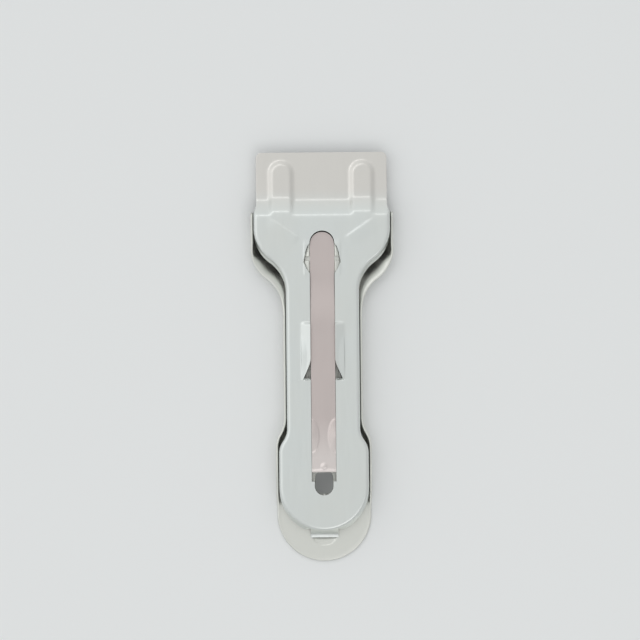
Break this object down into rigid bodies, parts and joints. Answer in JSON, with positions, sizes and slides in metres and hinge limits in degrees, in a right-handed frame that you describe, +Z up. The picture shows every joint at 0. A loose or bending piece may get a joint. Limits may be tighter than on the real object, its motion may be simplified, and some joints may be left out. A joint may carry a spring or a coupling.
{
  "type": "ceramic hob scraper",
  "caption": "Pressed steel hob scraper: a tray-shaped handle with a single-edged blade, a sliding cover that guards the blade and a leaf spring in the cover's slot.",
  "frame": {"origin": "on the underside of the handle shell, below the middle of the tool's length", "axes": "+Y along the tool towards the blade, +Z up through the cover, +X to the right seen from above with the blade away"},
  "size_m": [0.0472, 0.136, 0.0086],
  "materials": {
    "shell_steel": "bright zinc plate on pressed sheet, satin",
    "cover_steel": "bright zinc plate on pressed sheet, satin",
    "spring_steel": "tempered spring strip, satin",
    "blade_steel": "ground carbon steel, lightly oiled"
  },
  "bodies": {
    "handle": {"handle_shell": "shell_steel", "scraper_blade": "blade_steel"},
    "guard": {"guard_cover": "cover_steel"},
    "latch": {"leaf_spring": "spring_steel"}
  },
  "joints": [
    {"name": "guard_slide", "type": "slide", "parent": "handle", "child": "guard", "axis": [0, -1, 0], "range_m": [0, 0.0052]},
    {"name": "latch_press", "type": "hinge", "parent": "handle", "child": "latch", "pos_m": [0, 0.02775, 0.00535], "axis": [1, 0, 0], "range_deg": [0, 1.6], "stiffness_Nm_per_rad": 1.5}
  ]
}
